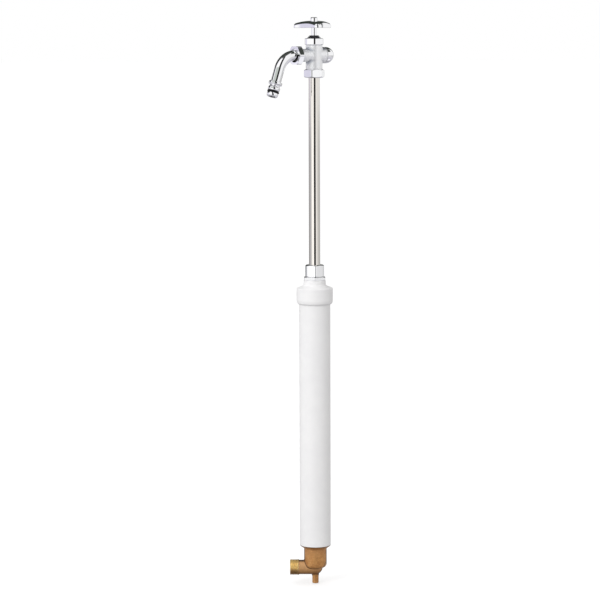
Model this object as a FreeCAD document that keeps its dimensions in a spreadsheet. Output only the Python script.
# A frost-free standpipe tap with a telescoping riser, drawn out to its full height.
#
# Millimetres. +Z is up, and the origin is on the column's axis at the foot of the white sleeve.
# The water inlet points to -X and the spout to the front left. The shut-off valve is at the foot,
# below the frost line. The handle turns a drive tube that slides over a hexagonal rod, the rod
# screws through a fixed bush and lifts the piston off its seat, and when the piston is down the
# riser drains through the piston's hollow tail into the drain spigot.
import FreeCAD, Part
import math
import os

import Sketcher

DOC = FreeCAD.newDocument("standpipe")
SHEET = DOC.addObject("Spreadsheet::Sheet", "Sizes")
VECTOR = FreeCAD.Vector


class Size:
    """A number together with the words that tie it to the sheet."""

    def __init__(self, number, words):
        self.number = float(number)
        self.words = words

    def join(self, other, sign, number):
        return Size(number, f"({self.words} {sign} {size(other).words})")

    def __add__(self, other):
        return self.join(other, "+", self.number + size(other).number)

    def __sub__(self, other):
        return self.join(other, "-", self.number - size(other).number)

    def __mul__(self, other):
        return self.join(other, "*", self.number * size(other).number)

    def __truediv__(self, other):
        return self.join(other, "/", self.number / size(other).number)

    def __radd__(self, other):
        return size(other) + self

    def __rsub__(self, other):
        return size(other) - self

    def __rmul__(self, other):
        return size(other) * self

    def __neg__(self):
        return Size(-self.number, f"(0 - {self.words})")


def size(value):
    return value if isinstance(value, Size) else Size(value, f"{float(value):.6f}")


def sine(angle):
    return Size(math.sin(math.radians(angle.number)), f"sin({angle.words} * 1 deg)")


def cosine(angle):
    return Size(math.cos(math.radians(angle.number)), f"cos({angle.words} * 1 deg)")


def root(value):
    return Size(math.sqrt(value.number), f"sqrt({value.words})")


# The driving sizes, in millimetres and degrees, each written once.
SIZES = {
    # Clearances
    "running_clearance": 0.08,  # radial play of a shaft in its bore
    "loose_clearance": 0.3,  # play between pieces that must not touch
    "snug_clearance": 0.1,  # radial play of a thread or a pushed-in piece
    "seating_gap": 0.2,  # gap between faces that close on each other
    # Column: sleeve, cap, guide tube
    "sleeve_diameter": 48.0,  # outer diameter of the white sleeve
    "sleeve_wall": 4.0,  # wall of the sleeve
    "sleeve_length": 399.8,  # length of the sleeve
    "cap_diameter": 56.0,  # outer diameter of the reducing cap
    "cap_overlap": 21.4,  # length of sleeve inside the cap
    "cap_side_height": 24.6,  # straight side of the cap
    "cap_slope_height": 4.6,  # height of the cap's sloping shoulder
    "cap_neck_diameter": 34.2,  # outer diameter of the cap's neck
    "cap_neck_height": 8.0,  # height of the cap's neck
    "cap_lower_round": 3.4,  # rounding of the cap's lower edge
    "cap_upper_round": 1.6,  # rounding of the cap's upper edge
    "guide_tube_diameter": 27.2,  # outer diameter of the guide tube
    "guide_tube_wall": 2.0,  # wall of the guide tube
    # Top adaptor and its locking nut
    "adaptor_across_flats": 32.6,  # adaptor hexagon across its flats
    "adaptor_hex_height": 5.3,  # height of the adaptor's hexagon
    "adaptor_skirt_diameter": 30.4,  # adaptor skirt inside the cap
    "adaptor_skirt_depth": 18.0,  # length of the adaptor's skirt
    "guide_tube_insertion": 15.0,  # guide tube inside the adaptor
    "lock_thread_diameter": 23.6,  # thread under the lock nut
    "lock_thread_length": 11.0,  # length of the thread under the lock nut
    "lock_nut_across_flats": 28.0,  # lock nut across its flats
    "lock_nut_height": 18.6,  # height of the lock nut
    "lock_nut_lip": 3.4,  # thickness of the lock nut's inward lip
    "packing_chamber_diameter": 20.8,  # chamber round the riser
    "riser_packing_height": 4.6,  # height of the riser packing
    # Riser
    "riser_diameter": 17.3,  # outer diameter of the riser pipe
    "riser_wall": 1.4,  # wall of the riser pipe
    "riser_exposed": 286.9,  # riser between lock nut and union nut
    "riser_inside": 89.7,  # riser below the top of the lock nut
    "riser_socket_depth": 12.6,  # riser above the foot of the union nut
    "riser_foot_height": 20.0,  # brass foot on the riser
    "riser_foot_shoulder": 2.0,  # shoulder under the riser's end
    "packing_ring_cord": 1.9,  # thickness of the riser's two O-rings
    "guide_bush_height": 10.0,  # height of the guide bush
    "clip_height": 1.5,  # thickness of the retaining clip
    "clip_groove_depth": 0.5,  # depth of the clip's groove
    # Union nut
    "union_across_flats": 28.6,  # union nut across its flats
    "union_height": 13.4,  # height of the union nut
    "union_lip": 4.0,  # thickness of the union nut's inward lip
    "union_thread_diameter": 23.2,  # thread under the tap body
    "union_thread_length": 7.2,  # length of the thread under the tap body
    "ferrule_height": 1.0,  # thickness of the union's ferrule
    # Tap body
    "body_diameter": 25.6,  # upright barrel of the tap body
    "body_height": 36.7,  # height of the upright barrel
    "branch_rise": 21.0,  # branch axis above the barrel's lower end
    "waterway_diameter": 16.0,  # bore for the water
    "branch_diameter": 19.7,  # outside of the spout branch
    "branch_reach": 34.0,  # end of the spout branch from the axis
    "branch_thread_diameter": 23.8,  # thread on the spout branch
    "branch_thread_length": 6.8,  # length of that thread
    "branch_angle": 216.87,  # direction of the spout seen from above
    "stub_reach": 17.4,  # end of the air-valve stub from the axis
    "stub_thread_diameter": 21.4,  # thread inside the air-valve cap
    "stub_thread_length": 4.4,  # length of that thread
    "air_cap_side": 4.2,  # straight side of the air-valve cap
    "air_cap_wall": 1.7,  # wall of the air-valve cap
    "casting_round": 1.6,  # rounding where the branches leave the barrel
    # Gland and stem
    "gland_across_flats": 28.2,  # gland nut across its flats
    "gland_hex_height": 10.4,  # height of the gland nut's hexagon
    "gland_cone_height": 4.2,  # height of the gland nut's cone
    "gland_cone_foot": 22.0,  # diameter of the cone at its foot
    "gland_cone_top": 13.4,  # diameter of the cone at its top
    "gland_thread_diameter": 20.0,  # thread of the gland nut
    "gland_thread_length": 9.0,  # length of the gland nut's thread
    "gland_chamber_diameter": 13.2,  # chamber for the gland packing
    "gland_packing_height": 5.6,  # height of the gland packing
    "gland_washer_height": 1.2,  # thickness of the gland washer
    "stem_diameter": 8.0,  # diameter of the stem
    "stem_exposed": 11.5,  # stem between gland nut and handle
    "stem_square": 5.6,  # square end of the stem inside the handle
    "stem_collar_height": 2.6,  # thickness of the stem's thrust collar
    "stem_tail_diameter": 6.4,  # end of the stem inside the drive tube
    "stem_tail_length": 20.0,  # length of the stem inside the drive tube
    # Drive tube and rod
    "drive_tube_diameter": 9.4,  # outer diameter of the drive tube
    "drive_hex_across_flats": 6.0,  # hexagonal rod across its flats
    "drive_hex_play": 0.25,  # play of the rod in the drive tube, a side
    "drive_tube_length": 380.0,  # length of the drive tube
    "drive_tube_top_gap": 37.0,  # drive tube's top below the barrel's top
    "drive_pin_diameter": 2.0,  # cross pin through the drive tube and stem
    "rod_top": 415.0,  # top of the rod above the sleeve's foot
    # Handle
    "handle_reach": 32.4,  # tip of a lobe from the axis
    "handle_tip_round": 6.0,  # rounding of a lobe's tip, seen from above
    "handle_side_round": 110.0,  # inward curve of the handle's sides
    "handle_height": 11.0,  # height of the handle on its axis
    "handle_dome_radius": 110.0,  # radius of the handle's dome
    "handle_edge_round": 4.0,  # rounding of the handle's upper edge
    "handle_wall": 2.6,  # wall round the hollow underside
    "handle_hollow_depth": 3.6,  # depth of the hollow underside
    "handle_hub_diameter": 14.0,  # boss inside the hollow underside
    "handle_angle": -79.0,  # direction of the front lobe
    "adaptor_angle": -90.0,  # direction of the flats under the lock nut
    "stem_square_length": 7.0,  # length of the square on the stem
    "screw_head_diameter": 11.0,  # head of the handle screw
    "screw_head_height": 5.3,  # height of the handle screw's head
    "screw_diameter": 4.0,  # shank of the handle screw
    "screw_length": 14.0,  # length of the handle screw's shank
    "screw_recess_width": 1.3,  # slot width of the cross recess
    "screw_recess_span": 5.6,  # span of the cross recess
    "screw_recess_depth": 2.4,  # depth of the cross recess
    # Spout
    "spout_diameter": 16.0,  # outer diameter of the spout tube
    "spout_wall": 1.2,  # wall of the spout tube
    "spout_nut_across_flats": 27.6,  # spout nut across its flats
    "spout_nut_height": 9.4,  # height of the spout nut
    "spout_nut_lip": 2.8,  # thickness of the spout nut's inward lip
    "spout_nut_front": 37.8,  # front of the spout nut from the axis
    "spout_nut_angle": 30.0,  # turn of the spout nut about its axis
    "spout_tail_length": 13.6,  # spout tube behind the nut's front
    "spout_bend_radius": 30.0,  # radius of the spout's bend
    "spout_bend_angle": 71.0,  # angle of the spout's bend
    "spout_straight": 20.4,  # straight end of the spout tube
    "spout_bead_diameter": 20.8,  # bead that holds the tube in the nut
    "spout_bead_width": 1.6,  # width of that bead
    "spout_bead_offset": 4.5,  # front of the bead behind the nut's front
    "slip_ring_height": 1.2,  # thickness of the slip ring
    "spout_packing_length": 3.6,  # length of the spout packing
    # Hose nipple
    "nipple_socket": 3.8,  # tube inside the nipple
    "nipple_flange_diameter": 20.9,  # flange of the hose nipple
    "nipple_flange_thickness": 4.4,  # thickness of that flange
    "nipple_neck_diameter": 15.0,  # neck of the hose nipple
    "nipple_neck_length": 3.4,  # length of that neck
    "nipple_barrel_diameter": 18.4,  # barrel above the O-ring
    "nipple_barrel_length": 6.0,  # length of that barrel
    "nipple_ring_diameter": 18.0,  # outer diameter of the black O-ring
    "nipple_ring_cord": 3.4,  # thickness of the black O-ring
    "nipple_tip_diameter": 17.4,  # tip below the O-ring
    "nipple_tip_length": 6.2,  # length of the tip
    "nipple_bore": 8.8,  # bore of the hose nipple
    "straightener_length": 4.0,  # length of the flow straightener
    # Valve body
    "valve_flange_diameter": 48.0,  # flange under the sleeve
    "valve_flange_depth": 5.2,  # height of the cone under the sleeve
    "valve_flange_root": 35.2,  # valve body where the cone ends
    "valve_round_start": 29.9,  # depth where the body rounds inward
    "valve_body_round": 6.0,  # rounding of the body's lower edge
    "inlet_depth": 35.7,  # depth of the inlet's axis
    "inlet_diameter": 22.5,  # outside of the inlet elbow
    "inlet_thread_diameter": 24.6,  # outside of the inlet's thread
    "inlet_thread_length": 13.2,  # length of the inlet's thread
    "inlet_reach": 39.7,  # end of the inlet from the axis
    "inlet_bore": 14.4,  # bore of the inlet
    "inlet_mouth_bore": 16.8,  # bore of the inlet's mouth, where a pipe's end goes in
    "inlet_mouth_depth": 15.0,  # depth of that mouth
    "drain_diameter": 10.0,  # outside of the drain spigot
    "drain_depth": 61.0,  # depth of the drain spigot's end
    "drain_root_diameter": 11.0,  # thicker root of the spigot under the elbow
    "drain_root_height": 2.0,  # how far that root stands below the elbow
    "tail_diameter": 7.6,  # hollow tail of the piston
    "tail_bore": 3.0,  # bore of the hollow tail
    "tail_depth": 56.0,  # depth of the tail's end
    "tail_ring_cord": 1.4,  # thickness of the tail's O-ring
    "chamber_diameter": 20.0,  # valve chamber
    "chamber_floor": 26.0,  # depth of the valve chamber's floor
    "seat_height": 2.6,  # height of the seat ring
    "seat_bore": 11.0,  # opening of the seat ring
    "seat_lip": 0.7,  # raised edge of the seat ring
    "seat_disc_diameter": 15.4,  # seat disc of the piston
    "seat_disc_height": 2.4,  # thickness of the seat disc
    "disc_holder_height": 2.8,  # holder over the seat disc
    "piston_shaft_diameter": 12.0,  # shaft of the piston
    "piston_top": 3.0,  # top of the piston above the sleeve's foot
    "drain_port_diameter": 3.0,  # drain port across the shaft
    "drain_port_depth": 13.0,  # depth of the drain port
    "port_collar_top": 1.0,  # depth of the port collar's top
    "port_collar_height": 8.0,  # height of the port collar
    "port_collar_ring_cord": 2.0,  # thickness of the collar's O-rings
    "spindle_bush_floor": 12.0,  # floor of the spindle bush's seat
    "spindle_bush_height": 8.0,  # height of the spindle bush
    "spindle_bush_diameter": 22.0,  # seat of the spindle bush
    "spindle_thread_diameter": 9.4,  # screw on the rod
    "spindle_thread_length": 26.5,  # length of the screw on the rod
    "rod_button_diameter": 8.8,  # button at the rod's foot
    "rod_button_height": 2.0,  # thickness of that button
    "rod_neck_diameter": 4.8,  # neck above the button
    "rod_neck_length": 1.5,  # length of that neck
    "guide_tube_seat": 22.0,  # seat of the guide tube above the foot
    "valve_neck_top": 36.0,  # top of the valve body inside the sleeve
    "valve_neck_diameter": 33.0,  # valve body inside the sleeve
    "flow_hole_diameter": 3.4,  # flow holes round the spindle bush
    "sleeve_register": 4.0,  # height of the ring that centres the sleeve
    # Air valve
    "air_chamber_diameter": 16.4,  # chamber of the air valve
    "air_chamber_floor": 11.5,  # floor of the chamber from the axis
    "air_seat_height": 2.6,  # thickness of the air valve's seat
    "air_seat_bore": 8.0,  # opening of the air valve's seat
    "air_disc_diameter": 13.0,  # disc of the air valve
    "air_disc_thickness": 1.6,  # thickness of the disc
    "air_valve_stroke": 1.5,  # how far the air valve's disc opens
    "air_pin_diameter": 3.0,  # guide pin of the disc
    "spring_wire": 0.6,  # wire of the air valve's spring
    "spring_diameter": 8.0,  # mean diameter of that spring
    "spring_turns": 3.5,  # turns of that spring
}


def given(name):
    """One driving size as a row of the sheet."""
    row = list(SIZES).index(name) + 1
    SHEET.set(f"A{row}", name)
    SHEET.set(f"B{row}", str(SIZES[name]))
    SHEET.setAlias(f"B{row}", name)
    return Size(SIZES[name], f"Sizes.{name}")


# Clearances
running = given("running_clearance")
loose = given("loose_clearance")
snug = given("snug_clearance")
seating = given("seating_gap")

# Column: sleeve, cap, guide tube
sleeve_dia = given("sleeve_diameter")
sleeve_wall = given("sleeve_wall")
sleeve_length = given("sleeve_length")
cap_dia = given("cap_diameter")
cap_overlap = given("cap_overlap")
cap_side = given("cap_side_height")
cap_slope = given("cap_slope_height")
cap_neck_dia = given("cap_neck_diameter")
cap_neck = given("cap_neck_height")
cap_round = given("cap_lower_round")
cap_ease = given("cap_upper_round")
guide_dia = given("guide_tube_diameter")
guide_wall = given("guide_tube_wall")

# Top adaptor and its locking nut
flange_across = given("adaptor_across_flats")
flange_height = given("adaptor_hex_height")
skirt_dia = given("adaptor_skirt_diameter")
skirt_depth = given("adaptor_skirt_depth")
tube_insertion = given("guide_tube_insertion")
lock_thread_dia = given("lock_thread_diameter")
lock_thread = given("lock_thread_length")
lock_across = given("lock_nut_across_flats")
lock_height = given("lock_nut_height")
lock_lip = given("lock_nut_lip")
packing_bore = given("packing_chamber_diameter")
packing_height = given("riser_packing_height")

# Riser
riser_dia = given("riser_diameter")
riser_wall = given("riser_wall")
riser_shown = given("riser_exposed")
riser_inside = given("riser_inside")
riser_socket = given("riser_socket_depth")
foot_height = given("riser_foot_height")
foot_shoulder = given("riser_foot_shoulder")
ring_cord = given("packing_ring_cord")
bush_height = given("guide_bush_height")
clip_height = given("clip_height")
clip_groove = given("clip_groove_depth")

# Union nut
union_across = given("union_across_flats")
union_height = given("union_height")
union_lip = given("union_lip")
union_thread_dia = given("union_thread_diameter")
union_thread = given("union_thread_length")
ferrule_height = given("ferrule_height")

# Tap body
body_dia = given("body_diameter")
body_height = given("body_height")
branch_rise = given("branch_rise")
waterway_dia = given("waterway_diameter")
branch_dia = given("branch_diameter")
branch_reach = given("branch_reach")
branch_thread_dia = given("branch_thread_diameter")
branch_thread = given("branch_thread_length")
branch_angle = given("branch_angle")
stub_reach = given("stub_reach")
stub_thread_dia = given("stub_thread_diameter")
stub_thread = given("stub_thread_length")
air_cap_side = given("air_cap_side")
air_cap_wall = given("air_cap_wall")
fillet = given("casting_round")

# Gland and stem
gland_across = given("gland_across_flats")
gland_hex = given("gland_hex_height")
gland_cone = given("gland_cone_height")
gland_cone_foot = given("gland_cone_foot")
gland_cone_top = given("gland_cone_top")
gland_thread_dia = given("gland_thread_diameter")
gland_thread = given("gland_thread_length")
gland_bore = given("gland_chamber_diameter")
gland_packing_height = given("gland_packing_height")
washer_height = given("gland_washer_height")
stem_dia = given("stem_diameter")
stem_shown = given("stem_exposed")
stem_square = given("stem_square")
collar_height = given("stem_collar_height")
stem_tail_dia = given("stem_tail_diameter")
stem_tail = given("stem_tail_length")

# Drive tube and rod
drive_dia = given("drive_tube_diameter")
drive_across = given("drive_hex_across_flats")
drive_play = given("drive_hex_play")
drive_length = given("drive_tube_length")
drive_gap = given("drive_tube_top_gap")
pin_dia = given("drive_pin_diameter")
rod_top = given("rod_top")

# Handle
handle_reach = given("handle_reach")
handle_tip = given("handle_tip_round")
handle_hollow = given("handle_side_round")
handle_height = given("handle_height")
handle_dome = given("handle_dome_radius")
handle_edge = given("handle_edge_round")
handle_wall = given("handle_wall")
handle_hollow_depth = given("handle_hollow_depth")
hub_dia = given("handle_hub_diameter")
handle_angle = given("handle_angle")
adaptor_angle = given("adaptor_angle")
square_length = given("stem_square_length")
screw_head_dia = given("screw_head_diameter")
screw_head = given("screw_head_height")
screw_dia = given("screw_diameter")
screw_length = given("screw_length")
recess_width = given("screw_recess_width")
recess_span = given("screw_recess_span")
recess_depth = given("screw_recess_depth")

# Spout
spout_dia = given("spout_diameter")
spout_wall = given("spout_wall")
spout_nut_across = given("spout_nut_across_flats")
spout_nut_height = given("spout_nut_height")
spout_nut_lip = given("spout_nut_lip")
spout_nut_front = given("spout_nut_front")
spout_nut_angle = given("spout_nut_angle")
spout_tail = given("spout_tail_length")
spout_bend = given("spout_bend_radius")
spout_turn = given("spout_bend_angle")
spout_straight = given("spout_straight")
bead_dia = given("spout_bead_diameter")
bead_width = given("spout_bead_width")
bead_offset = given("spout_bead_offset")
slip_height = given("slip_ring_height")
spout_packing = given("spout_packing_length")

# Hose nipple
nipple_socket = given("nipple_socket")
flange_dia = given("nipple_flange_diameter")
flange_thick = given("nipple_flange_thickness")
nipple_neck_dia = given("nipple_neck_diameter")
nipple_neck = given("nipple_neck_length")
barrel_dia = given("nipple_barrel_diameter")
barrel_length = given("nipple_barrel_length")
nipple_ring_dia = given("nipple_ring_diameter")
nipple_ring_cord = given("nipple_ring_cord")
tip_dia = given("nipple_tip_diameter")
tip_length = given("nipple_tip_length")
nipple_bore = given("nipple_bore")
straightener = given("straightener_length")

# Valve body
foot_dia = given("valve_flange_diameter")
foot_cone = given("valve_flange_depth")
foot_neck_dia = given("valve_flange_root")
chamber_bottom = given("valve_round_start")
body_round = given("valve_body_round")
inlet_depth = given("inlet_depth")
inlet_dia = given("inlet_diameter")
inlet_thread_dia = given("inlet_thread_diameter")
inlet_thread = given("inlet_thread_length")
inlet_reach = given("inlet_reach")
inlet_bore = given("inlet_bore")
inlet_mouth = given("inlet_mouth_bore")
inlet_mouth_deep = given("inlet_mouth_depth")
drain_dia = given("drain_diameter")
drain_depth = given("drain_depth")
drain_root_dia = given("drain_root_diameter")
drain_root = given("drain_root_height")
tail_dia = given("tail_diameter")
tail_bore = given("tail_bore")
tail_depth = given("tail_depth")
tail_ring = given("tail_ring_cord")
chamber_dia = given("chamber_diameter")
chamber_floor = given("chamber_floor")
seat_height = given("seat_height")
seat_bore = given("seat_bore")
seat_lip = given("seat_lip")
disc_dia = given("seat_disc_diameter")
disc_height = given("seat_disc_height")
holder_height = given("disc_holder_height")
shaft_dia = given("piston_shaft_diameter")
shaft_top = given("piston_top")
port_dia = given("drain_port_diameter")
port_depth = given("drain_port_depth")
port_collar_top = given("port_collar_top")
port_collar = given("port_collar_height")
collar_ring = given("port_collar_ring_cord")
socket_low = given("spindle_bush_floor")
spindle_bush = given("spindle_bush_height")
spindle_bush_dia = given("spindle_bush_diameter")
screw_thread_dia = given("spindle_thread_diameter")
screw_thread = given("spindle_thread_length")
button_dia = given("rod_button_diameter")
button_height = given("rod_button_height")
rod_neck_dia = given("rod_neck_diameter")
rod_neck = given("rod_neck_length")
tube_seat = given("guide_tube_seat")
neck_top = given("valve_neck_top")
neck_dia = given("valve_neck_diameter")
slot_dia = given("flow_hole_diameter")
register = given("sleeve_register")

# Air valve
air_bore = given("air_chamber_diameter")
air_floor = given("air_chamber_floor")
air_seat_height = given("air_seat_height")
air_seat_bore = given("air_seat_bore")
air_disc_dia = given("air_disc_diameter")
air_disc = given("air_disc_thickness")
air_stroke = given("air_valve_stroke")
air_pin_dia = given("air_pin_diameter")
spring_wire = given("spring_wire")
spring_dia = given("spring_diameter")
spring_turns = given("spring_turns")
DOC.recompute()

# Levels on the column's axis, from the foot of the sleeve upward
cap_bottom = sleeve_length - cap_overlap
cap_top = cap_bottom + cap_side + cap_slope + cap_neck
flange_top = cap_top + flange_height
lock_top = flange_top + lock_height
union_bottom = lock_top + riser_shown
body_bottom = union_bottom + union_height
branch_level = body_bottom + branch_rise
body_top = body_bottom + body_height
gland_top = body_top + gland_hex + gland_cone
handle_bottom = gland_top + stem_shown
handle_top = handle_bottom + handle_height
riser_bottom = lock_top - riser_inside
drive_top = body_top - drive_gap

HALF = size(0.5)
CORNER = size(1 / math.cos(math.radians(30)))


def upright(level, turn=None):
    """A pose on the column's axis at a level, turned about it."""
    words = f"placement(vector(0; 0; {size(level).words}); rotation(vector(0; 0; 1); "
    return words + (size(turn).words if turn is not None else "0") + "))"


def along_branch(turned, reach=None):
    """A pose whose +Z runs along a direction in the branch's upright plane.

    turned is the angle from straight up, tipped over towards the spout; reach is how far from the
    column's axis, along the branch, the pose lies.
    """
    out = size(0) if reach is None else reach
    across = (out * cosine(branch_angle)).words
    away = (out * sine(branch_angle)).words
    spin = f"rotation(vector(0; 0; 1); {branch_angle.words})"
    tip = f"rotation(vector(0; 1; 0); {size(turned).words})"
    return f"placement(vector({across}; {away}; {branch_level.words}); {spin} * {tip})"


def plane_of(body, role):
    return [part for part in body.Origin.OriginFeatures if part.Role == role][0]


def tie(sketch, kind, ends, number, words):
    """One measured constraint, bound to the sheet."""
    index = sketch.addConstraint(Sketcher.Constraint(kind, *ends, number))
    sketch.setExpression(f"Constraints[{index}]", words)


def place(sketch, run, end, across, up):
    """Ties one end of a run to its distances from the sketch's two axes."""
    for kind, axis, value in (("DistanceX", -2, size(across)), ("DistanceY", -1, size(up))):
        if abs(value.number) < 1e-9:
            sketch.addConstraint(Sketcher.Constraint("PointOnObject", run, end, axis))
        elif value.number > 0:
            tie(sketch, kind, (-1, 1, run, end), value.number, value.words)
        else:
            tie(sketch, kind, (run, end, -1, 1), -value.number, f"0 - {value.words}")


def outline(sketch, corners, closed=True):
    """A chain of straight runs and arcs through corners.

    A corner is (across, up) or (across, up, radius). The radius belongs to the run that leaves the
    corner: above zero the arc's centre lies to the left of the way it runs, below zero to the right.
    """
    runs = []
    last = len(corners) if closed else len(corners) - 1
    for index in range(last):
        corner, following = corners[index], corners[(index + 1) % len(corners)]
        start = VECTOR(size(corner[0]).number, size(corner[1]).number, 0)
        stop = VECTOR(size(following[0]).number, size(following[1]).number, 0)
        if len(corner) == 3:
            radius = abs(corner[2].number)
            chord = stop - start
            rise = math.sqrt(max(radius**2 - (chord.Length / 2) ** 2, 0))
            left = VECTOR(-chord.y, chord.x, 0).normalize()
            side = 1 if corner[2].number > 0 else -1
            centre = (start + stop) * 0.5 + left * rise * side
            first = math.atan2(start.y - centre.y, start.x - centre.x)
            second = math.atan2(stop.y - centre.y, stop.x - centre.x)
            circle = Part.Circle(centre, VECTOR(0, 0, 1), radius)
            if side > 0:
                runs.append((sketch.addGeometry(Part.ArcOfCircle(circle, first, second)), 1, 2))
            else:
                runs.append((sketch.addGeometry(Part.ArcOfCircle(circle, second, first)), 2, 1))
        else:
            runs.append((sketch.addGeometry(Part.LineSegment(start, stop)), 1, 2))
    for index, (run, _, end) in enumerate(runs):
        if index + 1 < len(runs) or closed:
            following, start, _ = runs[(index + 1) % len(runs)]
            sketch.addConstraint(Sketcher.Constraint("Coincident", run, end, following, start))
    for corner, (run, start, _) in zip(corners, runs):
        place(sketch, run, start, corner[0], corner[1])
        if len(corner) == 3:
            bow = corner[2] if corner[2].number > 0 else -corner[2]
            index = sketch.addConstraint(Sketcher.Constraint("Radius", run, bow.number))
            sketch.setExpression(f"Constraints[{index}]", bow.words)
    if not closed:
        place(sketch, runs[-1][0], runs[-1][2], corners[-1][0], corners[-1][1])


def hexagon(sketch, across):
    """A hexagon across its flats, with a corner on the sketch's first axis."""
    corner = size(across) * HALF * CORNER
    points = []
    for step in range(6):
        angle = math.radians(60 * step)
        points.append((corner * round(math.cos(angle), 9), corner * round(math.sin(angle), 9)))
    outline(sketch, points)


class Piece:
    """One solid piece, made of features about its own upright axis."""

    def __init__(self, label, pose):
        self.body = DOC.addObject("PartDesign::Body", label)
        self.body.Label = label
        self.body.setExpression("Placement", pose)
        self.count = 0

    def sketch(self, role, lift=None):
        self.count += 1
        made = self.body.newObject("Sketcher::SketchObject", f"{self.body.Name}_sketch{self.count}")
        made.AttachmentSupport = [(plane_of(self.body, role), "")]
        made.MapMode = "FlatFace"
        if lift is not None:
            made.setExpression("AttachmentOffset.Base.z", size(lift).words)
        return made

    def feature(self, kind, sketch, **settings):
        made = self.body.newObject(f"PartDesign::{kind}", f"{self.body.Name}_{kind}{self.count}")
        made.Profile = sketch
        for name, value in settings.items():
            if isinstance(value, Size):
                made.setExpression(name, value.words)
            else:
                setattr(made, name, value)
        self.body.Tip = made
        return made

    def checked(self, grows, before):
        """Rebuilds and makes sure that the feature added or took away material."""
        DOC.recompute()
        volume = self.body.Shape.Volume
        if grows != (volume > before + 1e-6) or abs(volume - before) < 1e-6:
            raise RuntimeError(f"{self.body.Label}: volume went from {before} to {volume}")

    def volume(self):
        return self.body.Shape.Volume if self.body.Tip else 0.0

    def turn(self, corners, axis="V_Axis"):
        """Adds a turned form with the given half section."""
        before = self.volume()
        drawn = self.sketch("XZ_Plane")
        outline(drawn, corners)
        self.feature("Revolution", drawn, ReferenceAxis=(drawn, [axis]), Angle=360)
        self.checked(True, before)
        return self

    def bore(self, corners, axis="V_Axis"):
        """Takes a turned form away."""
        before = self.volume()
        drawn = self.sketch("XZ_Plane")
        outline(drawn, corners)
        self.feature("Groove", drawn, ReferenceAxis=(drawn, [axis]), Angle=360)
        self.checked(False, before)
        return self

    def raise_hexagon(self, across, low, high):
        """Adds a hexagonal prism between two levels."""
        before = self.volume()
        drawn = self.sketch("XY_Plane", low)
        hexagon(drawn, across)
        self.feature("Pad", drawn, Length=size(high) - low)
        self.checked(True, before)
        return self

    def sink(self, shape, low, high):
        """Takes away a prism between two levels; shape draws it."""
        before = self.volume()
        drawn = self.sketch("XY_Plane", high)
        shape(drawn)
        self.feature("Pocket", drawn, Length=size(high) - low)
        self.checked(False, before)
        return self

    def chamfer_hexagon(self, across, level, upward, flat, slope):
        """Turns a hexagon's corners away above or below a level, as on a machined nut."""
        corner = size(across) * HALF * CORNER + 1.0
        drop = (corner - flat) * slope
        end = size(level) - drop if upward else size(level) + drop
        if upward:
            corners = [(flat, level), (corner, end), (corner, level)]
        else:
            corners = [(flat, level), (corner, level), (corner, end)]
        return self.bore(corners)


def ring(label, pose, inner, outer, low, high):
    """A plain ring: two radii and two levels."""
    return Piece(label, pose).turn([(inner, low), (outer, low), (outer, high), (inner, high)])


def seal_rings(label, pose, items):
    """Hidden sealing rings of eight-sided section; each item is (mean radius, cord, level)."""
    made = []
    for index, (radius, cord, level) in enumerate(items):
        reach = cord * HALF
        flat = reach * (math.sqrt(2) - 1)
        seal = Piece(f"{label}_{index + 1}" if len(items) > 1 else label, pose)
        made.append(seal.turn([
            (radius - reach, level - flat), (radius - flat, level - reach),
            (radius + flat, level - reach), (radius + reach, level - flat),
            (radius + reach, level + flat), (radius + flat, level + reach),
            (radius - flat, level + reach), (radius - reach, level + flat),
        ]))
    if len(made) == 1:
        return made[0]
    whole = DOC.addObject("Part::Compound", label)
    whole.Label = label
    whole.Links = [seal.body for seal in made]
    return whole


PARTS = {}


def keep(piece):
    body = piece.body if isinstance(piece, Piece) else piece
    PARTS[body.Label] = body
    return piece


# The bronze valve body. A turned barrel whose lower edge rounds into the inlet elbow, a flaring
# cone that carries the sleeve, and above it a neck that goes up inside the sleeve. Its levels are
# counted from the inlet's axis.
sleeve_inner = sleeve_dia * HALF - sleeve_wall
root_radius = foot_neck_dia * HALF
elbow_radius = inlet_dia * HALF
thread_radius = inlet_thread_dia * HALF
thread_start = inlet_reach - inlet_thread
chamber_radius = chamber_dia * HALF
tail_radius = tail_dia * HALF
drain_bore = tail_radius + running
guide_radius = guide_dia * HALF
guide_inner = guide_radius - guide_wall
barrel_low = inlet_depth - chamber_bottom - body_round
valve = Piece("valve_body", upright(-inlet_depth))
valve.turn([
    (0, barrel_low),
    (root_radius - body_round, barrel_low, body_round),
    (root_radius, inlet_depth - chamber_bottom),
    (root_radius, inlet_depth - foot_cone),
    (foot_dia * HALF, inlet_depth - 0.8),
    (foot_dia * HALF, inlet_depth),
    (sleeve_inner - snug, inlet_depth),
    (sleeve_inner - snug, inlet_depth + register),
    (neck_dia * HALF, inlet_depth + register),
    (neck_dia * HALF, inlet_depth + neck_top),
    (0, inlet_depth + neck_top),
])
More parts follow.
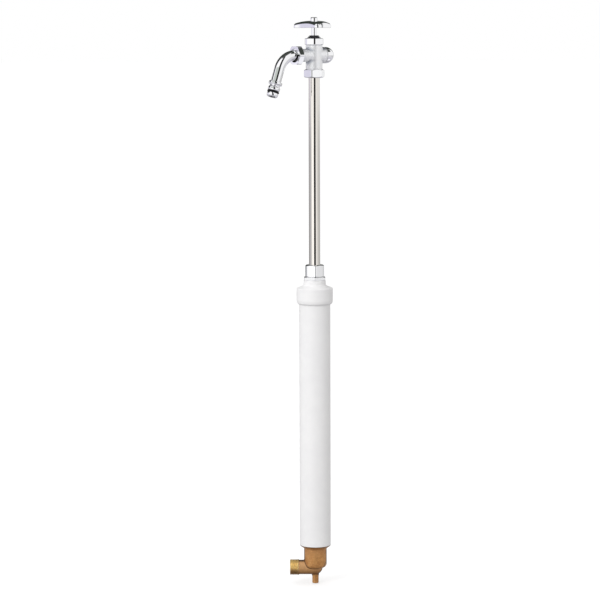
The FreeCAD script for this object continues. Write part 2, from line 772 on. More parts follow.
# The elbow: a level cylinder along the inlet's axis, closed by a ball on the column's axis.
valve.turn([
    (-inlet_reach, 0),
    (-inlet_reach, thread_radius - 1.0),
    (1.0 - inlet_reach, thread_radius),
    (-thread_start, thread_radius),
    (0.8 - thread_start, elbow_radius),
    (0, elbow_radius, -elbow_radius),
    (elbow_radius, 0),
], "H_Axis")
drain_end = inlet_depth - drain_depth
valve.turn([
    (0, drain_end),
    (drain_dia * HALF - 0.9, drain_end, size(0.9)),
    (drain_dia * HALF, drain_end + 0.9),
    (drain_dia * HALF, -elbow_radius - drain_root),
    (drain_root_dia * HALF, -elbow_radius - drain_root),
    (drain_root_dia * HALF, -elbow_radius * HALF),
    (0, -elbow_radius * HALF),
])
passage = inlet_bore * HALF
mouth_radius = inlet_mouth * HALF
valve.bore([
    (-inlet_reach, 0),
    (-inlet_reach, mouth_radius + 0.8),
    (0.8 - inlet_reach, mouth_radius),
    (inlet_mouth_deep - inlet_reach, mouth_radius),
    (inlet_mouth_deep - inlet_reach, passage),
    (0, passage, -passage),
    (passage, 0),
], "H_Axis")
valve.bore([
    (0, drain_end),
    (drain_bore, drain_end),
    (drain_bore, -passage * HALF),
    (seat_bore * HALF, -passage * HALF),
    (seat_bore * HALF, inlet_depth - chamber_floor),
    (chamber_radius, inlet_depth - chamber_floor),
    (chamber_radius, inlet_depth + socket_low),
    (spindle_bush_dia * HALF, inlet_depth + socket_low),
    (spindle_bush_dia * HALF, inlet_depth + tube_seat),
    (guide_radius + snug, inlet_depth + tube_seat),
    (guide_radius + snug, inlet_depth + neck_top),
    (0, inlet_depth + neck_top),
])
keep(valve)

# The seat ring, with a raised edge for the disc to close on.
seat_top = -chamber_floor + seat_height + seat_lip
edge = seat_bore * HALF
keep(Piece("valve_seat_ring", upright(-chamber_floor)).turn([
    (edge, 0),
    (chamber_radius - snug, 0),
    (chamber_radius - snug, seat_height),
    (edge + 1.6, seat_height),
    (edge + 1.1, seat_height + seat_lip),
    (edge + 0.4, seat_height + seat_lip),
    (edge, seat_height),
]))

# The piston: hollow tail, holder over the seat disc, and a shaft with the drain port. A T-slot in
# its top takes the rod's button, so the rod turns in it while it lifts.
disc_low = seat_top + seating
disc_high = disc_low + disc_height
holder_top = disc_high + holder_height
shaft = shaft_dia * HALF
ring_radius = drain_bore - tail_ring * HALF - 0.03
ring_level = -tail_depth + 2.4
button_low = size(0)
button_high = button_low + button_height
piston = Piece("valve_piston", upright(0))
piston.turn([
    (0, -tail_depth),
    (tail_radius - 0.5, -tail_depth),
    (tail_radius, -tail_depth + 0.5),
    (tail_radius, ring_level - tail_ring * HALF - 0.1),
    (ring_radius - tail_ring * HALF, ring_level - tail_ring * HALF - 0.1),
    (ring_radius - tail_ring * HALF, ring_level + tail_ring * HALF + 0.1),
    (tail_radius, ring_level + tail_ring * HALF + 0.1),
    (tail_radius, disc_high),
    (disc_dia * HALF, disc_high),
    (disc_dia * HALF, holder_top - 0.8),
    (disc_dia * HALF - 0.8, holder_top),
    (shaft, holder_top),
    (shaft, shaft_top),
    (0, shaft_top),
])
piston.bore([
    (0, -tail_depth),
    (tail_bore * HALF, -tail_depth),
    (tail_bore * HALF, -port_depth),
    (0, -port_depth),
])
before = piston.volume()
port = piston.sketch("XZ_Plane")
circle = port.addGeometry(Part.Circle(VECTOR(0, -port_depth.number, 0), VECTOR(0, 0, 1), 1.5))
port.addConstraint(Sketcher.Constraint("PointOnObject", circle, 3, -2))
tie(port, "DistanceY", (circle, 3, -1, 1), port_depth.number, port_depth.words)
tie(port, "Radius", (circle,), port_dia.number / 2, (port_dia * HALF).words)
piston.feature("Pocket", port, Midplane=True, Length=shaft_dia + 2)
piston.checked(False, before)


def slot(width):
    """A slot open to one side, rounded about the axis at its closed end."""
    reach = shaft_dia
    return lambda sketch: outline(sketch, [
        (-width, 0, width), (0, -width, width), (width, 0), (width, reach), (-width, reach),
    ])


piston.sink(slot(button_dia * HALF + snug), button_low - seating, button_high + seating)
piston.sink(slot(rod_neck_dia * HALF + loose), button_high, shaft_top)
keep(piston)
keep(ring("piston_seat_disc", upright(disc_low), tail_radius + running, disc_dia * HALF, 0, disc_height))
keep(seal_rings("tail_o_ring", upright(ring_level), [(ring_radius, tail_ring, 0)]))

# The port collar round the shaft. At full lift the drain port stands between its two O-rings and
# is shut off; notches in its rim let the water past.
collar_low = -(port_collar_top + port_collar)
inner_ring = shaft + 0.04 + collar_ring * HALF
groove_wall = inner_ring + collar_ring * HALF
bore_radius = shaft + running
collar = Piece("port_collar", upright(collar_low))
low_ring = collar_ring * HALF + 0.7
high_ring = port_collar - low_ring
half_groove = collar_ring * HALF
collar.turn([
    (bore_radius, 0),
    (chamber_radius - snug, 0),
    (chamber_radius - snug, port_collar),
    (bore_radius, port_collar),
    (bore_radius, high_ring + half_groove),
    (groove_wall, high_ring + half_groove),
    (groove_wall, high_ring - half_groove),
    (bore_radius, high_ring - half_groove),
    (bore_radius, low_ring + half_groove),
    (groove_wall, low_ring + half_groove),
    (groove_wall, low_ring - half_groove),
    (bore_radius, low_ring - half_groove),
])


def hole_at(distance, radius):
    """A round hole whose centre lies on the sketch's first axis."""
    def draw(sketch):
        made = sketch.addGeometry(
            Part.Circle(VECTOR(distance.number, 0, 0), VECTOR(0, 0, 1), radius.number))
        sketch.addConstraint(Sketcher.Constraint("PointOnObject", made, 3, -1))
        tie(sketch, "DistanceX", (-1, 1, made, 3), distance.number, distance.words)
        tie(sketch, "Radius", (made,), radius.number, radius.words)
    return draw


def repeat(piece, count):
    """Repeats the last cut evenly about the piece's axis."""
    before = piece.volume()
    cut = piece.body.Tip
    pattern = piece.body.newObject("PartDesign::PolarPattern", f"{piece.body.Name}_pattern")
    pattern.Originals = [cut]
    pattern.Axis = (plane_of(piece.body, "Z_Axis"), [""])
    pattern.Angle = 360
    pattern.Occurrences = count
    piece.body.Tip = pattern
    piece.checked(False, before)


collar.sink(hole_at(chamber_radius, chamber_radius - groove_wall - 0.5), size(0), port_collar)
repeat(collar, 6)
keep(collar)
keep(seal_rings("collar_o_rings", upright(collar_low), [
    (inner_ring, collar_ring, low_ring), (inner_ring, collar_ring, high_ring)]))

# The spindle bush: the fixed nut that the rod's screw climbs in, with holes for the water.
bush = ring("spindle_bush", upright(socket_low), screw_thread_dia * HALF + running,
            spindle_bush_dia * HALF - snug, 0, spindle_bush)
middle = (screw_thread_dia + spindle_bush_dia) * 0.25
bush.sink(hole_at(middle, slot_dia * HALF), size(0), spindle_bush)
repeat(bush, 6)
keep(bush)

# The hexagonal rod, with its screw and the button that lifts the piston.
neck_end = button_high + rod_neck
screw_end = neck_end + screw_thread
rod = Piece("drive_rod", upright(0, handle_angle))
rod.turn([
    (0, button_low),
    (button_dia * HALF, button_low),
    (button_dia * HALF, button_high),
    (rod_neck_dia * HALF, button_high),
    (rod_neck_dia * HALF, neck_end),
    (screw_thread_dia * HALF - 0.8, neck_end),
    (screw_thread_dia * HALF, neck_end + 0.8),
    (screw_thread_dia * HALF, screw_end - 0.8),
    (screw_thread_dia * HALF - 0.8, screw_end),
    (0, screw_end),
])
rod.raise_hexagon(drive_across, screw_end, rod_top)
rod.chamfer_hexagon(drive_across, rod_top, True, drive_across * HALF - 0.6, 0.6)
keep(rod)

# Guide tube, sleeve and reducing cap.
adaptor_foot = cap_top - skirt_depth
guide_top = adaptor_foot + tube_insertion
guide_foot = tube_seat + seating
keep(ring("guide_tube", upright(guide_foot), guide_inner, guide_radius, 0, guide_top - guide_foot))
sleeve_radius = sleeve_dia * HALF
keep(Piece("outer_sleeve", upright(0)).turn([
    (sleeve_inner, 0),
    (sleeve_radius - 0.5, 0),
    (sleeve_radius, 0.5),
    (sleeve_radius, sleeve_length - 0.5),
    (sleeve_radius - 0.5, sleeve_length),
    (sleeve_inner, sleeve_length),
]))
cap_radius = cap_dia * HALF
cap_neck_radius = cap_neck_dia * HALF
slope_top = cap_side + cap_slope
cap_height = slope_top + cap_neck
cap_hole = skirt_dia * HALF + snug
keep(Piece("sleeve_cap", upright(cap_bottom)).turn([
    (sleeve_radius + snug, 0),
    (cap_radius - cap_round, 0, cap_round),
    (cap_radius, cap_round),
    (cap_radius, cap_side - cap_ease, cap_ease),
    (cap_radius - cap_ease, cap_side),
    (cap_neck_radius + 1.6, slope_top - 0.8, size(-3.0)),
    (cap_neck_radius, slope_top + 1.0),
    (cap_neck_radius, cap_height - 1.8),
    (cap_neck_radius - 0.4, cap_height - 1.5),
    (cap_neck_radius - 0.4, cap_height - 0.6),
    (cap_neck_radius - 1.0, cap_height),
    (cap_hole, cap_height),
    (cap_hole, cap_overlap + seating),
    (sleeve_radius + snug, cap_overlap + seating),
]))

# Top adaptor: hexagon on the cap, skirt over the guide tube, thread for the lock nut. Its bore
# guides the riser, and the chamber above holds the packing and the lock ring.
riser_radius = riser_dia * HALF
guide_bore = riser_radius + running
chamber = packing_bore * HALF
packing_low = flange_height + 1.7
thread_top = flange_height + lock_thread
adaptor = Piece("top_adaptor", upright(cap_top, adaptor_angle))
adaptor.turn([
    (0, -skirt_depth),
    (skirt_dia * HALF, -skirt_depth),
    (skirt_dia * HALF, 0),
    (lock_thread_dia * HALF, 0),
    (lock_thread_dia * HALF, thread_top - 0.7),
    (lock_thread_dia * HALF - 0.7, thread_top),
    (0, thread_top),
])
adaptor.raise_hexagon(flange_across, size(0), flange_height)
adaptor.chamfer_hexagon(flange_across, flange_height, True, flange_across * HALF, 0.9)
adaptor.chamfer_hexagon(flange_across, size(0), False, flange_across * HALF + 0.6, 0.6)
adaptor.bore([
    (0, -skirt_depth),
    (guide_radius + snug, -skirt_depth),
    (guide_radius + snug, tube_insertion - skirt_depth + seating),
    (guide_bore, tube_insertion - skirt_depth + seating),
    (guide_bore, packing_low),
    (chamber, packing_low),
    (chamber, thread_top),
    (0, thread_top),
])
keep(adaptor)
keep(ring("riser_packing", upright(cap_top + packing_low), guide_bore, chamber - snug,
          0, packing_height))

# Lock ring and lock nut: the nut presses the ring on the packing and grips the riser.
nut_foot = flange_top + seating
lip_low = lock_top - lock_lip
ring_foot = cap_top + packing_low + packing_height + seating
keep(Piece("lock_ring", upright(ring_foot)).turn([
    (guide_bore, 0),
    (chamber - snug - 1.0, 0),
    (chamber - snug, 1.0),
    (chamber - snug, lip_low - ring_foot - seating),
    (guide_bore, lip_low - ring_foot - seating),
]))
lock = Piece("lock_nut", upright(nut_foot, size(-86)))
lock_tall = lock_top - nut_foot
lock.raise_hexagon(lock_across, size(0), lock_tall)
lock.chamfer_hexagon(lock_across, lock_tall, True, lock_across * HALF - 1.4, 0.9)
lock.chamfer_hexagon(lock_across, size(0), False, lock_across * HALF, 0.5)
lock.bore([
    (0, 0),
    (lock_thread_dia * HALF + snug, 0),
    (lock_thread_dia * HALF + snug, lip_low - nut_foot),
    (riser_radius + loose, lip_low - nut_foot),
    (riser_radius + loose, lock_tall - 0.8),
    (riser_radius + loose + 0.8, lock_tall),
    (0, lock_tall),
])
keep(lock)

# Riser: brass foot with two O-rings that slide in the guide tube, pipe, guide bush and its clip.
pipe_low = riser_bottom + foot_shoulder
foot_top = riser_bottom + foot_height
pipe_inner = riser_radius - riser_wall
foot_radius = guide_inner - 0.2
ring_mean = guide_inner - 0.03 - ring_cord * HALF
groove = ring_mean - ring_cord * HALF
half = ring_cord * HALF + 0.1
first = size(5.0)
second = foot_height - 5.0
keep(Piece("riser_foot", upright(riser_bottom)).turn([
    (pipe_inner, 0),
    (foot_radius - 0.8, 0),
    (foot_radius, 0.8),
    (foot_radius, first - half), (groove, first - half),
    (groove, first + half), (foot_radius, first + half),
    (foot_radius, second - half), (groove, second - half),
    (groove, second + half), (foot_radius, second + half),
    (foot_radius, foot_height),
    (riser_radius + running, foot_height),
    (riser_radius + running, foot_shoulder),
    (pipe_inner, foot_shoulder),
]))
keep(seal_rings("riser_o_rings", upright(riser_bottom), [
    (ring_mean, ring_cord, first), (ring_mean, ring_cord, second)]))
keep(ring("guide_bush", upright(foot_top + seating), riser_radius + running,
          guide_inner - running, 0, bush_height))
clip_low = foot_top + seating * 2 + bush_height
groove_radius = riser_radius - clip_groove
pipe_top = union_bottom + riser_socket
keep(Piece("riser_pipe", upright(0)).turn([
    (pipe_inner, pipe_low),
    (riser_radius, pipe_low),
    (riser_radius, clip_low - 0.1), (groove_radius, clip_low - 0.1),
    (groove_radius, clip_low + clip_height + 0.1), (riser_radius, clip_low + clip_height + 0.1),
    (riser_radius, pipe_top - 0.4),
    (riser_radius - 0.4, pipe_top),
    (pipe_inner, pipe_top),
]))
clip = ring("retaining_clip", upright(clip_low), groove_radius + running, riser_radius + 1.9, 0, clip_height)
clip.sink(lambda sketch: outline(sketch, [
    (0, -3.0), (guide_dia, -3.0), (guide_dia, 3.0), (0, 3.0)]), size(0), clip_height)
keep(clip)

# Union nut, its ferrule and packing.
socket = riser_radius + snug
thread_foot = union_height - union_thread
union = Piece("union_nut", upright(union_bottom, size(-105)))
union.raise_hexagon(union_across, size(0), union_height)
union.chamfer_hexagon(union_across, union_height, True, union_across * HALF - 0.9, 0.8)
union.chamfer_hexagon(union_across, size(0), False, union_across * HALF - 1.3, 1.0)
union.bore([
    (0, 0),
    (riser_radius + loose + 0.6, 0),
    (riser_radius + loose, 0.6),
    (riser_radius + loose, union_lip),
    (union_thread_dia * HALF + snug, union_lip),
    (union_thread_dia * HALF + snug, union_height),
    (0, union_height),
])
keep(union)
packing_outer = union_thread_dia * HALF - snug
packing_inner = riser_radius + running
keep(ring("union_ferrule", upright(union_bottom + union_lip), packing_inner, packing_outer,
          0, ferrule_height))
keep(ring("union_packing", upright(union_bottom + union_lip + ferrule_height), packing_inner,
          packing_outer, 0, thread_foot - union_lip - ferrule_height))

# Tap body, with +X along the spout branch and its levels counted from the branch's axis.
body_low = -branch_rise
body_high = body_height - branch_rise
barrel = body_dia * HALF
branch = branch_dia * HALF
stub = barrel - 0.3
collar_start = branch_reach - branch_thread
tap = Piece("tap_body", upright(branch_level, branch_angle))
tap.turn([
    (0, body_low - union_thread),
    (union_thread_dia * HALF - 0.5, body_low - union_thread),
    (union_thread_dia * HALF, body_low - union_thread + 0.5),
    (union_thread_dia * HALF, body_low),
    (barrel, body_low),
    (barrel, body_high - 0.5),
    (barrel - 0.5, body_high),
    (0, body_high),
])
tap.turn([
    (0, 0),
    (branch_reach, 0),
    (branch_reach, branch_thread_dia * HALF - 0.5),
    (branch_reach - 0.5, branch_thread_dia * HALF),
    (collar_start, branch_thread_dia * HALF),
    (collar_start, branch),
    (0, branch),
], "H_Axis")
tap.turn([
    (0, 0),
    (0, stub),
    (-stub_reach + 0.4, stub),
    (-stub_reach, stub - 0.4),
    (-stub_reach, stub_thread_dia * HALF),
    (-(stub_reach + stub_thread), stub_thread_dia * HALF),
    (-(stub_reach + stub_thread), 0),
], "H_Axis")


def round_crossings(piece, radius, reach):
    """Rounds the curved edges where the branches leave the barrel."""
    before = piece.volume()
    base = piece.body.Tip
    names = []
    for index, edge_shape in enumerate(base.Shape.Edges, 1):
        kind = edge_shape.Curve.TypeId
        middle_point = edge_shape.valueAt((edge_shape.FirstParameter + edge_shape.LastParameter) / 2)
        if kind not in ("Part::GeomLine", "Part::GeomCircle") and abs(middle_point.x) < reach:
            names.append(f"Edge{index}")
    made = piece.body.newObject("PartDesign::Fillet", f"{piece.body.Name}_round")
    made.Base = (base, names)
    made.setExpression("Radius", radius.words)
    piece.body.Tip = made
    piece.checked(True, before)


round_crossings(tap, fillet, body_dia.number)
tap.bore([
    (0, body_low - union_thread),
    (socket, body_low - union_thread),
    (socket, pipe_top - branch_level + seating),
    (waterway_dia * HALF, pipe_top - branch_level + seating),
    (waterway_dia * HALF, body_high - gland_thread - seating),
    (gland_thread_dia * HALF + snug, body_high - gland_thread - seating),
    (gland_thread_dia * HALF + snug, body_high),
    (0, body_high),
])
tail_seat = spout_nut_front - spout_tail - 1.2
bead_front = spout_nut_front - bead_offset
bead_back = bead_front - bead_width
packing_foot = bead_back - seating - spout_packing
counter = bead_dia * HALF + 0.4
spout_radius = spout_dia * HALF
tap.bore([
    (0, 0),
    (0, spout_radius - spout_wall),
    (tail_seat, spout_radius - spout_wall),
    (tail_seat, spout_radius + running * 2),
    (packing_foot, spout_radius + running * 2),
    (packing_foot, counter),
    (branch_reach, counter),
    (branch_reach, 0),
], "H_Axis")
tap.bore([
    (0, 0),
    (-(stub_reach + stub_thread), 0),
    (-(stub_reach + stub_thread), air_bore * HALF),
    (-air_floor, air_bore * HALF),
    (-air_floor, air_seat_bore * HALF),
    (0, air_seat_bore * HALF),
], "H_Axis")
keep(tap)

# Gland nut: hexagon, cone and a thread that goes down into the barrel.
gland_high = gland_hex + gland_cone
chamber_top = size(6.0)
gland_chamber = gland_bore * HALF
gland = Piece("gland_nut", upright(body_top, size(-90)))
gland.turn([
    (0, -gland_thread),
    (gland_thread_dia * HALF - 0.6, -gland_thread),
    (gland_thread_dia * HALF, -gland_thread + 0.6),
    (gland_thread_dia * HALF, 0.4),
    (gland_cone_foot * HALF, 0.4),
    (gland_cone_foot * HALF, gland_hex),
    (gland_cone_top * HALF, gland_high),
    (0, gland_high),
])
gland.raise_hexagon(gland_across, size(0), gland_hex)
gland.chamfer_hexagon(gland_across, gland_hex, True, gland_cone_foot * HALF + 0.4, 0.5)
gland.chamfer_hexagon(gland_across, size(0), False, gland_across * HALF - 1.2, 0.9)
gland.bore([
    (0, -gland_thread),
    (gland_chamber, -gland_thread),
    (gland_chamber, chamber_top),
    (stem_dia * HALF + running, chamber_top),
    (stem_dia * HALF + running, gland_high - 0.5),
    (stem_dia * HALF + running + 0.5, gland_high),
    (0, gland_high),
])
keep(gland)
stem_radius = stem_dia * HALF
packing_floor = chamber_top - gland_packing_height
washer_low = packing_floor - washer_height
collar_top = washer_low - seating
collar_foot = collar_top - collar_height
thrust_top = collar_foot - seating
keep(ring("gland_packing", upright(body_top + packing_floor), stem_radius + running,
          gland_chamber - snug, 0, gland_packing_height))
keep(ring("gland_washer", upright(body_top + washer_low), stem_radius + running,
          gland_chamber - snug, 0, washer_height))
keep(ring("thrust_ring", upright(body_top + thrust_top - (gland_thread + thrust_top)),
          stem_radius + running, gland_chamber - snug, 0, gland_thread + thrust_top))

# Stem, with its thrust collar, square end and the tail that goes into the drive tube.
tube_top = -drive_gap
square_low = gland_high + stem_shown
square_high = square_low + square_length
tail_low = tube_top - stem_tail
stem = Piece("stem", upright(body_top, handle_angle))
stem.turn([
    (0, tail_low),
    (stem_tail_dia * HALF - 0.5, tail_low),
    (stem_tail_dia * HALF, tail_low + 0.5),
    (stem_tail_dia * HALF, tube_top + seating),
    (stem_radius, tube_top + seating),
    (stem_radius, collar_foot),
    (gland_chamber - 0.3, collar_foot),
    (gland_chamber - 0.3, collar_top),
    (stem_radius, collar_top),
    (stem_radius, square_low),
    (0, square_low),
])


def square(across):
    side = size(across) * HALF
    return lambda sketch: outline(sketch, [
        (-side, -side), (side, -side), (side, side), (-side, side)])


before = stem.volume()
drawn = stem.sketch("XY_Plane", square_low)
square(stem_square)(drawn)
stem.feature("Pad", drawn, Length=square_high - square_low)
stem.checked(True, before)
screw_hole = square_high - screw_length + handle_height - square_length - 1.0
stem.bore([
    (0, screw_hole),
    (screw_dia * HALF + snug, screw_hole),
    (screw_dia * HALF + snug, square_high),
    (0, square_high),
])
pin_level = tube_top - stem_tail * HALF


def cross_hole(piece, level_value, radius, length):
    """A level hole along the piece's Y axis at one height."""
    before = piece.volume()
    drawn = piece.sketch("XZ_Plane")
    made = drawn.addGeometry(
        Part.Circle(VECTOR(0, level_value.number, 0), VECTOR(0, 0, 1), radius.number))
    drawn.addConstraint(Sketcher.Constraint("PointOnObject", made, 3, -2))
    if level_value.number > 0:
        tie(drawn, "DistanceY", (-1, 1, made, 3), level_value.number, level_value.words)
    else:
        tie(drawn, "DistanceY", (made, 3, -1, 1), -level_value.number, (-level_value).words)
    tie(drawn, "Radius", (made,), radius.number, radius.words)
    piece.feature("Pocket", drawn, Midplane=True, Length=length)
    piece.checked(False, before)


cross_hole(stem, pin_level, pin_dia * HALF + running, stem_dia)
keep(stem)

# Drive tube: it hangs from the stem by its cross pin and slides over the rod with the riser.
tube = Piece("drive_tube", upright(drive_top - drive_length, handle_angle))
tube.turn([
    (0, 0),
    (drive_dia * HALF - 0.4, 0),
    (drive_dia * HALF, 0.4),
    (drive_dia * HALF, drive_length - 0.4),
    (drive_dia * HALF - 0.4, drive_length),
    (0, drive_length),
])
tube.sink(lambda sketch: hexagon(sketch, drive_across + drive_play * 2), size(0), drive_length)
cross_hole(tube, drive_length - stem_tail * HALF, pin_dia * HALF + running, drive_dia + 2)
keep(tube)
pin = DOC.addObject("Part::Cylinder", "drive_pin")
pin.Label = "drive_pin"
pin.setExpression("Radius", (pin_dia * HALF).words)
pin_length = drive_dia - 0.6
pin.setExpression("Height", pin_length.words)
pin.setExpression("Placement", upright(body_top + pin_level, handle_angle) + " * placement("
                  f"vector(0; {(pin_length * HALF).words}; 0); rotation(vector(1; 0; 0); 90))")
keep(pin)


def three_lobes(wall):
    """The handle seen from above, drawn in by a wall: three tip arcs and three hollow sides."""
    def draw(sketch):
        tip = handle_tip - wall
        side = handle_hollow + wall
        centre = handle_reach - handle_tip
        span = handle_tip + handle_hollow
        far = centre * HALF + root(span * span - centre * centre * 0.75)
        tips, sides = [], []
        for step in range(3):
            angle = math.radians(120 * step)
            opposite = math.radians(120 * step + 60)
            at = VECTOR(math.cos(angle), math.sin(angle), 0) * centre.number
            out = VECTOR(math.cos(opposite), math.sin(opposite), 0) * far.number
            after = math.radians(120 * (step + 1))
            next_at = VECTOR(math.cos(after), math.sin(after), 0) * centre.number
            before_out = VECTOR(math.cos(opposite - math.radians(120)),
                                math.sin(opposite - math.radians(120)), 0) * far.number
            start = math.atan2((before_out - at).y, (before_out - at).x)
            stop = math.atan2((out - at).y, (out - at).x)
            circle = Part.Circle(at, VECTOR(0, 0, 1), tip.number)
            tips.append(sketch.addGeometry(Part.ArcOfCircle(circle, start, stop)))
            low = math.atan2((next_at - out).y, (next_at - out).x)
            high = math.atan2((at - out).y, (at - out).x)
            circle = Part.Circle(out, VECTOR(0, 0, 1), side.number)
            sides.append(sketch.addGeometry(Part.ArcOfCircle(circle, low, high)))
        for step in range(3):
            after = (step + 1) % 3
            constraint = Sketcher.Constraint
            sketch.addConstraint(constraint("Tangent", tips[step], 2, sides[step], 2))
            sketch.addConstraint(constraint("Tangent", sides[step], 1, tips[after], 1))
            angle = math.radians(120 * step)
            place(sketch, tips[step], 3, centre * round(math.cos(angle), 9),
                  centre * round(math.sin(angle), 9))
            tie(sketch, "Radius", (tips[step],), tip.number, tip.words)
            tie(sketch, "Radius", (sides[step],), side.number, side.words)
    return draw


# The handle: three rounded lobes under one shallow dome, hollow below, with a square hole.
handle = Piece("handle", upright(handle_bottom, handle_angle))
before = handle.volume()
drawn = handle.sketch("XY_Plane")
three_lobes(size(0))(drawn)
handle.feature("Pad", drawn, Length=handle_height + 1)
handle.checked(True, before)
rim = handle_reach + 2
fall = handle_height - handle_dome + root(handle_dome * handle_dome - rim * rim)
handle.bore([
    (0, handle_height, -handle_dome),
    (rim, fall),
    (rim, handle_height + 2),
    (0, handle_height + 2),
])


def dome_edges(shape):
    """The names of the edges round the dome."""
    names = []
    for index, edge_shape in enumerate(shape.Edges, 1):
        box = edge_shape.BoundBox
        if box.ZMin > 1.0 and box.ZMax - box.ZMin < handle_height.number * 0.5:
            names.append(f"Edge{index}")
    return names


before = handle.volume()
domed = handle.body.Tip
eased = handle.body.newObject("PartDesign::Fillet", "handle_rounding")
eased.Base = (domed, dome_edges(domed.Shape))
eased.setExpression("Radius", handle_edge.words)
handle.body.Tip = eased
handle.checked(False, before)
before = handle.volume()
drawn = handle.sketch("XY_Plane", handle_hollow_depth)
three_lobes(handle_wall)(drawn)
circle = drawn.addGeometry(Part.Circle(VECTOR(0, 0, 0), VECTOR(0, 0, 1), hub_dia.number / 2))
drawn.addConstraint(Sketcher.Constraint("Coincident", circle, 3, -1, 1))
tie(drawn, "Radius", (circle,), hub_dia.number / 2, (hub_dia * HALF).words)
handle.feature("Pocket", drawn, Length=handle_hollow_depth)
handle.checked(False, before)
spot = handle_height - 0.2
handle.sink(square(stem_square + snug * 2), size(0), square_length + seating)
handle.bore([
    (0, square_length),
    (screw_dia * HALF + 0.2, square_length),
    (screw_dia * HALF + 0.2, spot),
    (screw_head_dia * HALF + 0.1, spot),
    (screw_head_dia * HALF + 0.1, handle_height + 1),
    (0, handle_height + 1),
])
keep(handle)

# The screw: pan head with a cross recess.
head_radius = screw_head_dia * HALF
head_round = size(2.2)
screw = Piece("handle_screw", upright(handle_bottom + spot))
screw.turn([
    (0, -screw_length),
    (screw_dia * HALF - 0.5, -screw_length),
    (screw_dia * HALF, 0.5 - screw_length),
    (screw_dia * HALF, 0),
    (head_radius, 0),
    (head_radius, screw_head - head_round, head_round),
    (head_radius - head_round, screw_head),
    (0, screw_head),
])
arm = recess_span * HALF
slot_half = recess_width * HALF
screw.sink(lambda sketch: outline(sketch, [
    (arm, -slot_half), (arm, slot_half), (slot_half, slot_half), (slot_half, arm),
    (-slot_half, arm), (-slot_half, slot_half), (-arm, slot_half), (-arm, -slot_half),
    (-slot_half, -slot_half), (-slot_half, -arm), (slot_half, -arm), (slot_half, -slot_half),
]), screw_head - recess_depth, screw_head)
keep(screw)

# Spout nut, with the slip ring and packing behind its lip.
nut_back = spout_nut_front - spout_nut_height
lip_back = spout_nut_height - spout_nut_lip
spout_nut = Piece("spout_nut", along_branch(90, nut_back) + " * "
                  + upright(0, spout_nut_angle))
spout_nut.raise_hexagon(spout_nut_across, size(0), spout_nut_height)
spout_nut.chamfer_hexagon(spout_nut_across, spout_nut_height, True,
                          spout_nut_across * HALF + 0.7, 0.7)
spout_nut.chamfer_hexagon(spout_nut_across, size(0), False, spout_nut_across * HALF - 0.6, 0.6)
spout_nut.bore([
    (0, 0),
    (branch_thread_dia * HALF + snug, 0),
    (branch_thread_dia * HALF + snug, lip_back),
    (spout_radius + loose, lip_back),
    (spout_radius + loose, spout_nut_height - 1.4),
    (spout_radius + loose + 1.4, spout_nut_height),
    (0, spout_nut_height),
])
keep(spout_nut)
slip_front = nut_back + lip_back
keep(ring("spout_slip_ring", along_branch(90, slip_front - slip_height), spout_radius + running,
          counter - snug, 0, slip_height))
keep(ring("spout_packing", along_branch(90, packing_foot), spout_radius + running,
          counter - snug, 0, spout_packing))

# The bent spout, swept along a straight tail, a bend and a straight end.
turn = spout_turn
bend_out = spout_nut_front + spout_bend * sine(turn)
bend_down = -(spout_bend * (1 - cosine(turn)))
mouth_out = bend_out + spout_straight * cosine(turn)
mouth_down = bend_down - spout_straight * sine(turn)
tube_out = mouth_out + nipple_socket * cosine(turn)
tube_down = mouth_down - nipple_socket * sine(turn)
spout = Piece("spout_tube", upright(branch_level, branch_angle))
path = spout.sketch("XZ_Plane")
outline(path, [
    (spout_nut_front - spout_tail, 0),
    (spout_nut_front, 0, -spout_bend),
    (bend_out, bend_down),
    (tube_out, tube_down),
], closed=False)
section = spout.sketch("YZ_Plane", spout_nut_front - spout_tail)
for radius in (spout_radius, spout_radius - spout_wall):
    circle = section.addGeometry(Part.Circle(VECTOR(0, 0, 0), VECTOR(0, 0, 1), radius.number))
    section.addConstraint(Sketcher.Constraint("Coincident", circle, 3, -1, 1))
    tie(section, "Radius", (circle,), radius.number, radius.words)
before = spout.volume()
spout.feature("AdditivePipe", section, Spine=(path, ["Edge1", "Edge2", "Edge3"]))
spout.checked(True, before)
spout.turn([
    (bead_back, spout_radius - 0.4),
    (bead_back, bead_dia * HALF),
    (bead_front, bead_dia * HALF),
    (bead_front, spout_radius - 0.4),
], "H_Axis")
keep(spout)


def along_mouth(onward=0):
    """The pose of the hose nipple: its +Z runs the way the water leaves, from a step onward."""
    out = mouth_out + size(onward) * cosine(turn)
    down = mouth_down - size(onward) * sine(turn)
    across = (out * cosine(branch_angle)).words
    away = (out * sine(branch_angle)).words
    spin = f"rotation(vector(0; 0; 1); {branch_angle.words})"
    tip = f"rotation(vector(0; 1; 0); {(turn + 90).words})"
    return f"placement(vector({across}; {away}; {(branch_level + down).words}); {spin} * {tip})"


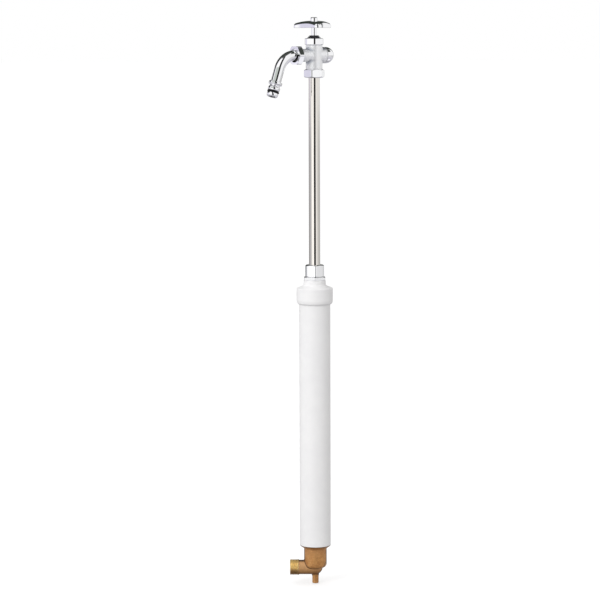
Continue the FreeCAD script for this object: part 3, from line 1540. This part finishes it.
# Hose nipple: flange, neck, barrel, groove for the black O-ring, and a rounded tip.
flange = flange_dia * HALF
neck = nipple_neck_dia * HALF
nipple_barrel = barrel_dia * HALF
tip = tip_dia * HALF
neck_foot = flange_thick + nipple_neck
barrel_end = neck_foot + barrel_length
groove_end = barrel_end + nipple_ring_cord + 0.2
tip_end = groove_end + tip_length
ring_seat = nipple_ring_dia * HALF - nipple_ring_cord
bore_radius = nipple_bore * HALF
insert_radius = size(6.3)
insert_depth = tip_end - straightener - 0.6
nipple = Piece("hose_nipple", along_mouth())
nipple.turn([
    (spout_radius + snug, 0),
    (flange - 0.8, 0),
    (flange, 0.8),
    (flange, flange_thick - 0.8),
    (flange - 0.8, flange_thick),
    (neck, flange_thick),
    (neck, neck_foot),
    (nipple_barrel - 0.9, neck_foot),
    (nipple_barrel, neck_foot + 0.9),
    (nipple_barrel, barrel_end),
    (ring_seat, barrel_end),
    (ring_seat, groove_end),
    (tip, groove_end),
    (tip, tip_end - 3.0, size(5.0)),
    (tip - 1.1, tip_end),
    (insert_radius, tip_end),
    (insert_radius, insert_depth),
    (bore_radius, insert_depth),
    (bore_radius, nipple_socket + snug),
    (spout_radius + snug, nipple_socket + snug),
])
keep(nipple)
nipple_ring = DOC.addObject("Part::Torus", "nipple_o_ring")
nipple_ring.Label = "nipple_o_ring"
nipple_ring.setExpression("Radius1", ((nipple_ring_dia - nipple_ring_cord) * HALF).words)
nipple_ring.setExpression("Radius2", (nipple_ring_cord * HALF).words)
nipple_ring.setExpression("Placement", along_mouth(barrel_end + nipple_ring_cord * HALF + 0.1))
keep(nipple_ring)

# The flow straightener: a black plug with a ring of holes round a middle one.
straight = Piece("flow_straightener", along_mouth(insert_depth))
straight.turn([
    (0, 0),
    (insert_radius - 0.05, 0),
    (insert_radius - 0.05, straightener),
    (0, straightener),
])
straight.sink(hole_at(size(0), size(1.3)), size(0), straightener)
straight.sink(hole_at(insert_radius * 0.62, size(1.3)), size(0), straightener)
repeat(straight, 6)
keep(straight)

# Air valve at the back: cap, seat, disc and spring. The disc opens inward when the riser drains,
# and its spring, kept at its shut length, rides on it with the stroke left free at the far end.
stub_end = along_branch(-90, -stub_reach)
cap_wall_in = stub - air_cap_wall
side_top = air_cap_side + loose
keep(Piece("air_valve_cap", stub_end).turn([
    (cap_wall_in, loose),
    (stub - 0.3, loose),
    (stub, loose + 0.3),
    (stub, side_top, stub),
    (0, side_top + stub),
    (0, side_top + cap_wall_in, -cap_wall_in),
    (cap_wall_in, side_top),
]))
air_radius = air_bore * HALF
seat_foot = stub_thread - air_seat_height
disc_foot = seat_foot - seating - air_disc
keep(ring("air_valve_seat", along_branch(-90, -(stub_reach + seat_foot)), air_seat_bore * HALF,
          air_radius - snug, 0, air_seat_height))
keep(Piece("air_valve_disc", along_branch(-90, -(stub_reach + disc_foot))).turn([
    (0, 0),
    (air_disc_dia * HALF, 0),
    (air_disc_dia * HALF, air_disc),
    (air_pin_dia * HALF, air_disc),
    (air_pin_dia * HALF, air_disc + air_seat_height + 1.4),
    (0, air_disc + air_seat_height + 1.4),
]))
spring_foot = air_floor - stub_reach + air_stroke + spring_wire * HALF + 0.1
spring_span = disc_foot - seating - spring_wire * HALF - spring_foot
coil = DOC.addObject("Part::Helix", "coil")
coil.setExpression("Radius", (spring_dia * HALF).words)
coil.setExpression("Pitch", (spring_span / spring_turns).words)
coil.setExpression("Height", spring_span.words)
wire = DOC.addObject("Part::RegularPolygon", "wire_section")
wire.Polygon = 6
wire.setExpression("Circumradius", (spring_wire * HALF).words)
wire.setExpression("Placement", f"placement(vector({(spring_dia * HALF).words}; 0; 0); "
                   "rotation(vector(1; 0; 0); 90))")
swept = DOC.addObject("Part::Sweep", "spring_sweep")
swept.Sections = [wire]
swept.Spine = (coil, ["Edge1"])
swept.Solid = True
swept.Frenet = True
spring = DOC.addObject("Part::Compound", "air_valve_spring")
spring.Label = "air_valve_spring"
spring.Links = [swept]
spring.setExpression("Placement", along_branch(-90, -(stub_reach + spring_foot)))
keep(spring)

DOC.recompute()
for made in DOC.Objects:
    for state in made.State:
        if state in ("Invalid", "Error"):
            raise RuntimeError(f"{made.Name}: {made.State}")
os.makedirs("parts", exist_ok=True)
for label, made in PARTS.items():
    shape = made.Shape
    if shape.isNull() or not shape.isValid() or not shape.Solids:
        raise RuntimeError(f"{label}: no sound solid")
    box = shape.BoundBox
    print(f"{label}: {len(shape.Solids)} solid, {shape.Volume / 1000:.3f} cm3, "
          f"z {box.ZMin:.1f} to {box.ZMax:.1f}")
for label, made in PARTS.items():
    made.Shape.exportStep(os.path.join("parts", f"{label}.step"))
print(len(PARTS), "pieces")
